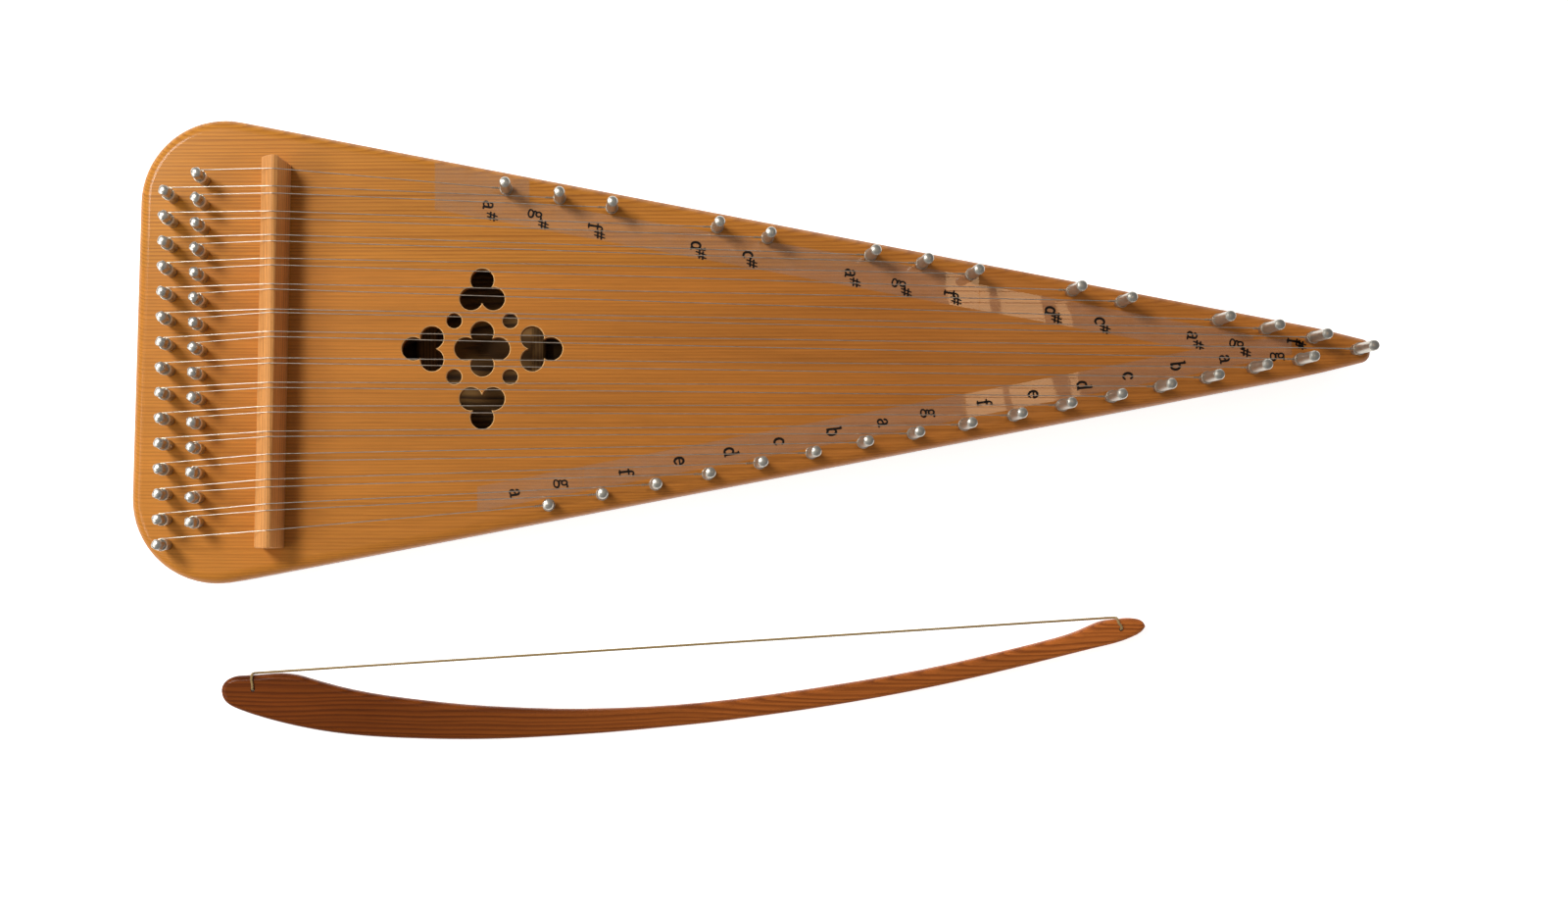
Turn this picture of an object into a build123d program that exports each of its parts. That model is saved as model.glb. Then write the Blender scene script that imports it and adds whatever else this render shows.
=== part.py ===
from build123d import *
import math
import os

# Bowed psaltery with its bow.  Millimetres, +Z up.
# +X runs along the centreline from the wide tuning end to the tip and +Y is the
# chromatic (sharps) side.  The origin is on the underside of the back plate, on the
# centreline and below the bridge.  The bow lies flat on z = 0 on the -Y side.

# --- heights ---
BACK_T = 4.0                  # back plate thickness
RIB_H = 32.0                  # height of the pin block, side rails and tip block
SOUNDBOARD_T = 6.0
Z_BACK = BACK_T               # top of the back plate
Z_RIB = BACK_T + RIB_H        # top of the rails, underside of the soundboard
Z_TOP = Z_RIB + SOUNDBOARD_T  # playing face of the soundboard

# --- body outline ---
HALF_AT_BRIDGE = 105.2        # half width of the straight sides at x = 0
SIDE_SLOPE = 0.192            # half width lost per millimetre of length
END_X = -67.7                 # wide end on the centreline
END_SKEW = 0.0227             # the wide end is cut about 1.3 degrees off square
CORNER_R = 40.0               # plan radius of the two big corners
NOSE_BREAK_X = 491.6          # the sides steepen here towards the nose
NOSE_BREAK_R = 200.0          # plan radius that eases this break
NOSE_SLOPE = 0.25
NOSE_X = 515.8                # end of the nose
NOSE_CORNER_R = 4.248         # plan radius of the two nose corners
TOP_ROUNDOVER = 5.5           # roundover of the soundboard's top edge
BACK_ROUNDOVER = 2.5          # roundover of the back plate's lower edge

# --- frame ---
PIN_BLOCK_X = -24.0           # inner face of the pin block
TIP_BLOCK_X = 420.0           # inner face of the tip block
RAIL_W = 14.0                 # side rail width
BLOCK_CUT = (200, 300)        # rectangle that cuts an end block out of the outline
BRACE_CHAMFER = 1.5

# name, centre x, width, height, True when glued to the soundboard
BRACES = [
    ("bridge_brace", -1.0, 12.0, 14.0, True),
    ("soundboard_brace_1", 52.0, 8.0, 10.0, True),
    ("soundboard_brace_2", 140.0, 8.0, 10.0, True),
    ("soundboard_brace_3", 255.0, 8.0, 9.0, True),
    ("back_brace_1", 67.0, 9.5, 8.0, False),
    ("back_brace_2", 122.0, 7.0, 8.0, False),
    ("back_brace_3", 290.0, 8.0, 8.0, False),
]

# --- zither pins ---
PIN_D = 5.0
PIN_R = PIN_D / 2
PIN_LENGTH = 45.0
PIN_EXPOSED = 20.0            # height that stands above the soundboard
PIN_DOME = 1.05               # height of the bevelled, slightly domed top
PIN_BEVEL_W, PIN_BEVEL_H = 0.45, 0.55   # bevel below the dome
PIN_FOOT_W, PIN_FOOT_H = 0.5, 0.8       # bevel at the lower end
PIN_FLAT = 4.3                # across the flats of the tuning square
PIN_SQUARE_L = 8.0            # length of the tuning square
RUNOUT_ABOVE = 0.8            # the shoulder slope starts this far above the square's end
RUNOUT_BELOW = 1.2            # and is this far below it at PIN_D from the axis
CUT_OVER = 1.0                # height of the square's cut above the pin
PIN_EYE_D = 1.3               # string eye
PIN_EYE_H = 9.0               # height of the eye above the soundboard
PIN_DEPTH = PIN_LENGTH - PIN_EXPOSED - SOUNDBOARD_T   # depth of a pin below the soundboard
Z_PIN_TOP = Z_TOP + PIN_EXPOSED
Z_PIN_FOOT = Z_PIN_TOP - PIN_LENGTH
Z_SQUARE = Z_PIN_TOP - PIN_SQUARE_L     # lower end of the tuning square
Z_EYE = Z_TOP + PIN_EYE_H

TUNING_HOLE_R = PIN_R + 0.05  # running clearance
HITCH_HOLE_R = PIN_R + 0.02   # driven pins fit tighter
TUNING_HOLE_DEPTH = PIN_DEPTH + 1.0
HITCH_HOLE_DEPTH = PIN_DEPTH + 0.5

PINS_PER_ROW = 15
INNER_ROW = [(-34.9, 79.8), (-36.9, -81.2)]   # first and last pin of the row
OUTER_ROW = [(-49.7, 71.6), (-52.0, -91.6)]

# --- hitch pins (x, y), from the wide end towards the tip ---
HITCH_CHROMATIC = [
    (107.4, 75.3), (132.5, 70.9), (157.0, 66.4), (206.4, 57.2), (230.0, 52.2),
    (278.3, 44.1), (302.4, 40.2), (325.7, 35.1), (372.9, 27.5), (396.0, 22.3),
    (441.1, 13.6), (463.7, 9.6), (485.6, 5.4),
]
HITCH_TIP = [(506.9, 0.0)]
HITCH_DIATONIC = [
    (127.4, -73.1), (152.4, -68.0), (177.3, -63.4), (201.9, -58.5), (226.0, -53.4),
    (250.4, -48.7), (274.5, -43.8), (298.0, -39.6), (322.0, -35.5), (345.1, -31.1),
    (367.9, -26.3), (391.1, -22.3), (413.8, -17.6), (435.7, -13.4), (457.9, -8.7),
    (479.5, -4.9),
]
HITCH_PINS = HITCH_CHROMATIC + HITCH_TIP + HITCH_DIATONIC

# --- bridge ---
BRIDGE_SKEW = 0.0145          # the bridge leans 0.8 degrees off square
BRIDGE_X = -0.4               # middle of the bar on the centreline
BRIDGE_Y = (-93.2, 87.3)      # its two ends
BRIDGE_H = 23.0               # crown above the soundboard
BRIDGE_CROWN = 0.25           # crown position across the bar
BRIDGE_END_R = 0.8            # rounding of the edges at its two ends
ROUNDING_FROM = 0.5           # end edges centred lower than this stay sharp
# (across, up): upright face with a broad chamfer on the pin side, steep playing slope
BRIDGE_PROFILE = [(-2.0, 21.9), (-3.0, 21.3), (-5.7, 17.6), (-5.7, 0), (5.0, 0), (5.0, 1.2),
                  (2.5, 21.9)]

# --- strings ---
STRING_D = 0.4
STRING_PIN_H = 11.5           # height at which a string leaves its tuning pin
STRING_PIN_GAP = PIN_R + STRING_D / 2 + 0.05   # string centreline to the tuning pin's axis
CROWN_CLEAR = 0.15            # lets the straight spans clear the rounded crown
LOOP_H = 4.5                  # height of the end loops on the hitch pins
LOOP_R = 2.78                 # centreline radius of an end loop
# y of each string on the crown, from the chromatic side
CROWN_Y = [
    80.8, 72.7, 69.4, 61.1, 57.9, 50.3, 47.4, 39.5, 36.4, 27.7,
    25.3, 16.1, 14.6, 5.9, 3.5, -6.2, -8.6, -17.4, -19.8, -28.3,
    -31.0, -39.8, -42.2, -50.2, -53.5, -61.7, -65.2, -72.9, -75.9, -85.0,
]
# The strings end along the chromatic side, at the tip, then back along the diatonic side.
STRING_ENDS = HITCH_CHROMATIC + HITCH_TIP + HITCH_DIATONIC[::-1]
STRING_GROUPS = [
    ("strings_chromatic", range(0, 13)),
    ("string_lowest", range(13, 14)),
    ("strings_diatonic", range(14, 30)),
]

# --- rosette ---
ROSE_X, ROSE_Y = 96.0, 0.5
FOIL_R = 5.5                  # radius of every foil
FOILS = [(32.4, 0), (23.6, 5.2), (23.6, -5.2)]   # outer trefoil of one arm
QUATREFOIL_OFFSET = 7.6
QUATREFOIL_SQUARE = QUATREFOIL_OFFSET * 1.42     # square that opens its middle
SMALL_R, SMALL_OFFSET = 3.6, 13.2                # round holes between the arms
ROSE_CHAMFER = 0.35
SEAM_Y = 38.8                 # glue joint between the two soundboard boards

# --- clear note tape: strips (x, y) on the soundboard, just inside the hitch pins ---
TAPE_T = 0.12
TAPE_PIN_CLEAR = 0.15         # radial clearance round the hitch pins
TAPE_CHROMATIC = [
    [(73.6, 88.5), (118.2, 80.0), (118.2, 58.0), (73.6, 66.2)],
    [(118.4, 70.1), (330.0, 34.3), (330.0, 18.7), (118.4, 57.8)],
    [(330.2, 30.8), (427.6, 12.6), (459.0, 6.7), (459.0, 4.95), (441.0, 2.75), (430.2, 0.3),
     (427.6, 0.6), (330.2, 18.7)],
]
TAPE_DIATONIC = [
    [(93.8, -64.4), (143.5, -54.9), (143.5, -66.6), (93.8, -76.1)],
    [(143.7, -54.8), (221.2, -40.1), (221.2, -51.9), (143.7, -66.6)],
    [(221.4, -40.0), (323.0, -20.9), (323.0, -32.6), (221.4, -51.8)],
    [(323.2, -20.8), (427.8, -0.6), (441.0, 2.5), (463.2, 5.2), (477.0, 5.2), (477.0, -2.2),
     (463.2, -4.9), (440.2, -9.4), (427.8, -12.2), (323.2, -32.4)],
]

# --- bow: a flat arched stick, broad at the handle (-X) and slim at the tip (+X) ---
BOW_T = 9.0
BOW_ROUND = 2.4
# (x, y) of the edge away from the body, handle to tip
BOW_OUTER = [
    (-33.2, -163.5), (-30.7, -169.0), (-24.9, -172.2), (-10.5, -176.9), (14.0, -182.4),
    (38.0, -185.3), (62.0, -186.5), (86.0, -186.9), (110.0, -186.4), (134.0, -185.1),
    (158.0, -183.4), (182.0, -181.2), (206.0, -178.7), (230.0, -175.6), (254.0, -172.2),
    (278.0, -168.3), (302.0, -163.9), (326.0, -158.9), (350.0, -153.3), (374.0, -147.4),
    (395.8, -142.0), (405.4, -139.6), (412.6, -136.9), (417.3, -134.0), (418.8, -131.8),
]
# (x, y) of the edge facing the body, tip to handle
BOW_INNER = [
    (418.8, -131.8), (417.2, -129.2), (412.0, -127.9), (405.0, -128.45), (399.5, -129.1),
    (393.4, -131.2), (386.1, -134.4), (374.1, -138.2), (350.0, -144.2), (326.0, -149.9),
    (302.0, -154.8), (278.0, -159.0), (254.0, -162.8), (230.0, -166.2), (206.0, -169.0),
    (182.0, -171.0), (158.0, -172.1), (134.0, -172.4), (110.0, -171.7), (86.0, -170.3),
    (62.0, -167.8), (38.0, -164.4), (14.0, -158.7), (3.0, -155.7), (-4.5, -154.95),
    (-12.0, -155.4), (-22.0, -156.0), (-28.5, -156.9), (-32.0, -159.5), (-33.2, -163.5),
]
HAIR_D = 1.3
HAIR_HOLE_D = 2.0
HAIR_HOLE_HANDLE = (-17.6, -162.6)
HAIR_HOLE_TIP = (406.4, -133.2)
HAIR_TURN_HANDLE = (-18.0, -154.85)   # where the hair turns onto the face of the stick
HAIR_TURN_TIP = (404.5, -127.6)
Z_HAIR = BOW_T / 2                    # free span
Z_HAIR_OVER = BOW_T + HAIR_D / 2 + 0.05   # hair laid across the face
Z_HAIR_END = BOW_T - 5.0              # ends inside the holes

os.makedirs("parts", exist_ok=True)


def save(part, name):
    """Label a piece and write its STEP file."""
    part.label = name
    export_step(part, f"parts/{name}.step")


def check_count(name, part, wanted):
    """Stop if a group does not hold one solid for each of its pieces."""
    found = len(part.solids())
    if found != wanted:
        raise ValueError(f"{name} has {found} solids instead of {wanted}")


def half_width(x):
    """Half width of the body between its straight sides at x."""
    return HALF_AT_BRIDGE - SIDE_SLOPE * x


def inner_half(x):
    """Half width between the inner faces of the side rails at x."""
    return half_width(x) - RAIL_W * math.hypot(1, SIDE_SLOPE)


def end_x(y):
    """x of the wide end at y."""
    return END_X + END_SKEW * y


def bridge_x(y):
    """x of the middle of the bridge bar at y."""
    return BRIDGE_X + BRIDGE_SKEW * y


def pin_row(first, last):
    """Pin centres spread evenly between two end pins."""
    gaps = PINS_PER_ROW - 1
    return [(first[0] + (last[0] - first[0]) * i / gaps,
             first[1] + (last[1] - first[1]) * i / gaps) for i in range(PINS_PER_ROW)]


# Strings take the two rows in turn, starting at the chromatic side.
TUNING_PINS = [pin for pair in zip(pin_row(*INNER_ROW), pin_row(*OUTER_ROW)) for pin in pair]

# --- plan outline of the body ---
corner_reach = half_width(END_X)
corner_plus_y = corner_reach / (1 + SIDE_SLOPE * END_SKEW)
corner_minus_y = -corner_reach / (1 - SIDE_SLOPE * END_SKEW)
break_half = half_width(NOSE_BREAK_X)
nose_half = break_half - NOSE_SLOPE * (NOSE_X - NOSE_BREAK_X)
with BuildSketch() as outline:
    with BuildLine():
        Polyline(
            (end_x(corner_plus_y), corner_plus_y),
            (NOSE_BREAK_X, break_half),
            (NOSE_X, nose_half),
            (NOSE_X, -nose_half),
            (NOSE_BREAK_X, -break_half),
            (end_x(corner_minus_y), corner_minus_y),
            close=True,
        )
    make_face()
    fillet(outline.vertices().sort_by(Axis.X)[:2], CORNER_R)
    breaks = [v for v in outline.vertices() if abs(v.X - NOSE_BREAK_X) < 0.01]
    fillet(breaks, NOSE_BREAK_R)
    nose = [v for v in outline.vertices() if abs(v.X - NOSE_X) < 0.01]
    fillet(nose, NOSE_CORNER_R)

# --- rosette cut-out: four arms round a quatrefoil ---
with BuildSketch() as rosette:
    for angle in (0, 90, 180, 270):
        with Locations(Location((ROSE_X, ROSE_Y, 0), (0, 0, 1), angle)):
            with Locations(*FOILS):
                Circle(FOIL_R)
            with Locations((SMALL_OFFSET, SMALL_OFFSET)):
                Circle(SMALL_R)
            with Locations((QUATREFOIL_OFFSET, 0)):
                Circle(FOIL_R)
            # the triangle between the foil centres
            with BuildLine(mode=Mode.PRIVATE) as web:
                Polyline(*FOILS, close=True)
            add(make_face(web.line, mode=Mode.PRIVATE))
    with Locations((ROSE_X, ROSE_Y)):
        Rectangle(QUATREFOIL_SQUARE, QUATREFOIL_SQUARE, rotation=45)

# --- back plate ---
with BuildPart() as back_plate:
    with BuildSketch():
        add(outline.sketch)
    extrude(amount=BACK_T)
    fillet(back_plate.faces().sort_by(Axis.Z)[0].edges(), BACK_ROUNDOVER)
save(back_plate.part, "back_plate")

# --- soundboard: two boards edge-glued along a seam ---
with BuildPart() as soundboard:
    with BuildSketch(Plane.XY.offset(Z_RIB)):
        add(outline.sketch)
    extrude(amount=SOUNDBOARD_T)
    fillet(soundboard.faces().sort_by(Axis.Z)[-1].edges(), TOP_ROUNDOVER)
    with BuildSketch(Plane.XY.offset(Z_RIB)):
        add(rosette.sketch)
    extrude(amount=SOUNDBOARD_T, mode=Mode.SUBTRACT)
    rose_wires = soundboard.faces().sort_by(Axis.Z)[-1].inner_wires()
    chamfer([edge for wire in rose_wires for edge in wire.edges()], ROSE_CHAMFER)
    with Locations(*[(x, y, Z_TOP) for x, y in TUNING_PINS]):
        Hole(radius=TUNING_HOLE_R, depth=SOUNDBOARD_T)
    with Locations(*[(x, y, Z_TOP) for x, y in HITCH_PINS]):
        Hole(radius=HITCH_HOLE_R, depth=SOUNDBOARD_T)

# The plane faces -Y, so its top side holds the wide board.
for name, kept_side in (("soundboard_wide_board", Keep.TOP),
                        ("soundboard_narrow_board", Keep.BOTTOM)):
    with BuildPart() as board:
        add(soundboard.part)
        split(bisect_by=Plane.XZ.offset(-SEAM_Y), keep=kept_side)
    save(board.part, name)


# --- hardwood blocks at the two ends ---
def end_block(name, inner_x, outward, pins, hole_r, hole_depth):
    """Block between inner_x and the end of the body; outward is -1 or +1 along X."""
    with BuildPart() as block:
        with BuildSketch(Plane.XY.offset(Z_BACK)):
            add(outline.sketch)
            with Locations((inner_x + outward * BLOCK_CUT[0] / 2, 0)):
                Rectangle(*BLOCK_CUT, mode=Mode.INTERSECT)
        extrude(amount=RIB_H)
        with Locations(*[(x, y, Z_RIB) for x, y in pins]):
            Hole(radius=hole_r, depth=hole_depth)
    save(block.part, name)


end_block("pin_block", PIN_BLOCK_X, -1, TUNING_PINS, TUNING_HOLE_R, TUNING_HOLE_DEPTH)
end_block("tip_block", TIP_BLOCK_X, 1, [pin for pin in HITCH_PINS if pin[0] > TIP_BLOCK_X],
          HITCH_HOLE_R, HITCH_HOLE_DEPTH)


# --- side rails ---
def side_rail(name, side, pins):
    """Rail between the two blocks; side is +1 or -1 along Y."""
    with BuildPart() as rail:
        with BuildSketch(Plane.XY.offset(Z_BACK)):
            with BuildLine():
                Polyline(
                    (PIN_BLOCK_X, side * half_width(PIN_BLOCK_X)),
                    (TIP_BLOCK_X, side * half_width(TIP_BLOCK_X)),
                    (TIP_BLOCK_X, side * inner_half(TIP_BLOCK_X)),
                    (PIN_BLOCK_X, side * inner_half(PIN_BLOCK_X)),
                    close=True,
                )
            make_face()
        extrude(amount=RIB_H)
        with Locations(*[(x, y, Z_RIB) for x, y in pins if x < TIP_BLOCK_X]):
            Hole(radius=HITCH_HOLE_R, depth=HITCH_HOLE_DEPTH)
    save(rail.part, name)


side_rail("side_rail_chromatic", 1, HITCH_CHROMATIC)
side_rail("side_rail_diatonic", -1, HITCH_DIATONIC)

# --- ladder braces between the rails ---
for name, x, width, height, under_top in BRACES:
    x0, x1 = x - width / 2, x + width / 2
    base = Z_RIB - height if under_top else Z_BACK
    with BuildPart() as brace:
        with BuildSketch(Plane.XY.offset(base)):
            with BuildLine():
                Polyline((x0, inner_half(x0)), (x1, inner_half(x1)),
                         (x1, -inner_half(x1)), (x0, -inner_half(x0)), close=True)
            make_face()
        extrude(amount=height)
        free_face = brace.faces().sort_by(Axis.Z)[0 if under_top else -1]
        chamfer(free_face.edges().filter_by(Axis.Y, tolerance=1.0), BRACE_CHAMFER)
    save(brace.part, name)

# --- bridge, drawn at its -Y end ---
bridge_plane = Plane(
    origin=(bridge_x(BRIDGE_Y[0]), BRIDGE_Y[0], Z_TOP),
    x_dir=(1, -BRIDGE_SKEW, 0),
    z_dir=(-BRIDGE_SKEW, -1, 0),
)
with BuildPart() as bridge:
    with BuildSketch(bridge_plane):
        with BuildLine():
            Polyline(*BRIDGE_PROFILE)
            ThreePointArc(BRIDGE_PROFILE[-1], (BRIDGE_CROWN, BRIDGE_H), BRIDGE_PROFILE[0])
        make_face()
    extrude(amount=-(BRIDGE_Y[1] - BRIDGE_Y[0]) * math.hypot(1, BRIDGE_SKEW))
    end_faces = [face for face in bridge.faces() if abs(face.normal_at().Y) > 0.9]
    fillet([edge for face in end_faces for edge in face.edges()
            if edge.center().Z > Z_TOP + ROUNDING_FROM], BRIDGE_END_R)
save(bridge.part, "bridge")


# --- zither pins ---
def pin_profile():
    """Draw the turned half section of a zither pin in the current BuildLine."""
    rim_r = PIN_R - PIN_BEVEL_W
    rim_z = Z_PIN_TOP - PIN_DOME + PIN_BEVEL_H
    # spherical dome centred on the axis
    dome_h = Z_PIN_TOP - rim_z
    dome_r = (rim_r ** 2 + dome_h ** 2) / (2 * dome_h)
    half = math.asin(rim_r / dome_r) / 2
    dome_middle = (dome_r * math.sin(half), Z_PIN_TOP - dome_r + dome_r * math.cos(half))
    Polyline((0, Z_PIN_TOP), (0, Z_PIN_FOOT), (PIN_R - PIN_FOOT_W, Z_PIN_FOOT),
             (PIN_R, Z_PIN_FOOT + PIN_FOOT_H), (PIN_R, Z_PIN_TOP - PIN_DOME), (rim_r, rim_z))
    ThreePointArc((rim_r, rim_z), dome_middle, (0, Z_PIN_TOP))


def tuning_pin(name, x, y, turn):
    """Pin with a tuning square and a string eye, turned about its axis by turn radians."""
    along = Vector(math.cos(turn), math.sin(turn), 0)
    across = Vector(-math.sin(turn), math.cos(turn), 0)
    side_plane = Plane(origin=(x, y, 0), x_dir=along, z_dir=-across)
    cross_plane = Plane(origin=(x, y, 0), x_dir=across, z_dir=along)
    cut_top = Z_PIN_TOP + CUT_OVER
    with BuildPart() as pin:
        with BuildSketch(side_plane):
            with BuildLine():
                pin_profile()
            make_face()
        revolve(axis=Axis((x, y, 0), (0, 0, 1)))
        # the tuning square, one pair of flats at a time, with run-out shoulders
        for plane in (side_plane, cross_plane):
            with BuildSketch(plane):
                for side in (1, -1):
                    with BuildLine():
                        Polyline(
                            (side * PIN_FLAT / 2, Z_SQUARE + RUNOUT_ABOVE),
                            (side * PIN_FLAT / 2, cut_top),
                            (side * PIN_D, cut_top),
                            (side * PIN_D, Z_SQUARE - RUNOUT_BELOW),
                            close=True,
                        )
                    make_face()
            extrude(amount=PIN_D, both=True, mode=Mode.SUBTRACT)
        # the string eye runs through the pin below the square
        with Locations(side_plane):
            with Locations((0, Z_EYE, 0)):
                Hole(radius=PIN_EYE_D / 2)
    save(pin.part, name)


# One file each, because each pin turns on its own; the angles are scattered.
for i, (x, y) in enumerate(TUNING_PINS):
    tuning_pin(f"tuning_pin_{i + 1:02d}", x, y, math.radians((i * 67) % 90 + 8))


def hitch_pins(name, places):
    """Driven pins: the same turned pin without square or eye."""
    with BuildPart() as pins:
        for x, y in places:
            with BuildSketch(Plane(origin=(x, y, 0), x_dir=(1, 0, 0), z_dir=(0, -1, 0))):
                with BuildLine():
                    pin_profile()
                make_face()
            revolve(axis=Axis((x, y, 0), (0, 0, 1)))
    check_count(name, pins.part, len(places))
    save(pins.part, name)


hitch_pins("hitch_pins_chromatic", HITCH_CHROMATIC)
hitch_pins("hitch_pins_diatonic", HITCH_DIATONIC)
hitch_pins("hitch_pin_tip", HITCH_TIP)


# --- strings ---
def round_span(start, end, diameter):
    """Add a straight round length between two points to the current BuildPart."""
    span = Vector(*end) - Vector(*start)
    # The sketch can't join the caller's part from here, so it is extruded by name.
    with BuildSketch(Plane(origin=start, z_dir=span)) as section:
        Circle(diameter / 2)
    extrude(section.sketch, amount=span.length)


def string_points(i):
    """Three corners of string i: beside its tuning pin, on the crown, at its end loop."""
    pin_x, pin_y = TUNING_PINS[i]
    hitch_x, hitch_y = STRING_ENDS[i]
    crown = (bridge_x(CROWN_Y[i]) + BRIDGE_CROWN, CROWN_Y[i],
             Z_TOP + BRIDGE_H + STRING_D / 2 + CROWN_CLEAR)
    # the string leaves the +Y side of the pin, close to the tangent
    run_x, run_y = crown[0] - pin_x, crown[1] - (pin_y + STRING_PIN_GAP)
    length = math.hypot(run_x, run_y)
    start = (pin_x - STRING_PIN_GAP * run_y / length, pin_y + STRING_PIN_GAP * run_x / length,
             Z_TOP + STRING_PIN_H)
    # and ends in a loop round the hitch pin
    run_x, run_y = crown[0] - hitch_x, crown[1] - hitch_y
    length = math.hypot(run_x, run_y)
    end = (hitch_x + LOOP_R * run_x / length, hitch_y + LOOP_R * run_y / length,
           Z_TOP + LOOP_H)
    return start, crown, end


def lay_string(i):
    """One string: two straight spans, the bend on the crown and the loop at its end."""
    start, crown, end = string_points(i)
    round_span(start, crown, STRING_D)
    with Locations(crown):
        Sphere(STRING_D / 2)
    round_span(crown, end, STRING_D)
    # the loop starts on the far side of its pin, opposite the wire
    x, y = STRING_ENDS[i]
    far_side = math.degrees(math.atan2(crown[1] - y, crown[0] - x)) + 180
    with Locations(Location((x, y, Z_TOP + LOOP_H), (0, 0, far_side))):
        Torus(LOOP_R, STRING_D / 2)


for name, members in STRING_GROUPS:
    with BuildPart() as strings:
        for i in members:
            lay_string(i)
    check_count(name, strings.part, len(members))
    save(strings.part, name)

# --- note tape ---
for name, strips in (("note_tape_chromatic", TAPE_CHROMATIC),
                     ("note_tape_diatonic", TAPE_DIATONIC)):
    with BuildPart() as tape:
        with BuildSketch(Plane.XY.offset(Z_TOP)):
            for strip in strips:
                with BuildLine():
                    Polyline(*strip, close=True)
                make_face()
            with Locations(*HITCH_PINS):
                Circle(PIN_R + TAPE_PIN_CLEAR, mode=Mode.SUBTRACT)
        extrude(amount=TAPE_T)
    save(tape.part, name)

# --- bow stick ---
with BuildPart() as bow_stick:
    with BuildSketch():
        with BuildLine():
            Spline(*BOW_OUTER)
            Spline(*BOW_INNER)
        make_face()
    extrude(amount=BOW_T)
    rims = bow_stick.faces().filter_by(Axis.Z)
    fillet([edge for face in rims for edge in face.edges()], BOW_ROUND)
    with Locations((*HAIR_HOLE_HANDLE, BOW_T), (*HAIR_HOLE_TIP, BOW_T)):
        Hole(radius=HAIR_HOLE_D / 2)
save(bow_stick.part, "bow_stick")

# --- bow hair: one cord, laid over the stick's edge and into a hole at each end ---
hair_route = [
    (*HAIR_HOLE_HANDLE, Z_HAIR_END),
    (*HAIR_HOLE_HANDLE, Z_HAIR_OVER),
    (*HAIR_TURN_HANDLE, Z_HAIR_OVER),
    (*HAIR_TURN_HANDLE, Z_HAIR),
    (*HAIR_TURN_TIP, Z_HAIR),
    (*HAIR_TURN_TIP, Z_HAIR_OVER),
    (*HAIR_HOLE_TIP, Z_HAIR_OVER),
    (*HAIR_HOLE_TIP, Z_HAIR_END),
]
with BuildPart() as bow_hair:
    for start, end in zip(hair_route, hair_route[1:]):
        round_span(start, end, HAIR_D)
    with Locations(*hair_route[1:-1]):
        Sphere(HAIR_D / 2)
save(bow_hair.part, "bow_hair")
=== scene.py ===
"""A bowed psaltery with its bow, lying on a white floor.

The playing face of the body looks up (+Z). The strings run from the tuning pins at the -X end
to the hitch pins towards +X. The sharps (chromatic side) lie towards +Y and the naturals
(diatonic side) towards -Y. The bow lies along X, on the -Y side of the body.
Lengths are in metres; numbers marked with MM, and all numbers inside materials, are millimetres.
"""
import math
import random
import bpy
import bmesh
import numpy as np
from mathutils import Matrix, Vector


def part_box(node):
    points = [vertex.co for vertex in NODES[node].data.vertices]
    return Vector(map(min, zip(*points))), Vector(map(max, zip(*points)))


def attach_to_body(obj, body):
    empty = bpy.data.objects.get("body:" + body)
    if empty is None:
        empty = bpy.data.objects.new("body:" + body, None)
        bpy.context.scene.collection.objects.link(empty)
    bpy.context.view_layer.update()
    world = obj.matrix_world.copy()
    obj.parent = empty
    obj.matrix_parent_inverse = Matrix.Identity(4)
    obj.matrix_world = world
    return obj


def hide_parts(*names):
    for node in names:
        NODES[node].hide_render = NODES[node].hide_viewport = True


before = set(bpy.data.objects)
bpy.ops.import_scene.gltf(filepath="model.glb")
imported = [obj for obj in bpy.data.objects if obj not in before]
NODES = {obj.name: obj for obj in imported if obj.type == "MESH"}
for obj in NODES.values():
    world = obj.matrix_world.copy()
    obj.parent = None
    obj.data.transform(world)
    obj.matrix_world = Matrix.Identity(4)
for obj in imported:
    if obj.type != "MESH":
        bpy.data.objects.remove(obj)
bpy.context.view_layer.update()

MM = 0.001
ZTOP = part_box("soundboard_wide_board")[1][2]           # playing face of the soundboard
BOW_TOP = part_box("bow_stick")[1][2]
TAPE_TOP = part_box("note_tape_chromatic")[1][2]
TUNING_PINS = 30
WIRE_R = 0.2 * MM


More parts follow.
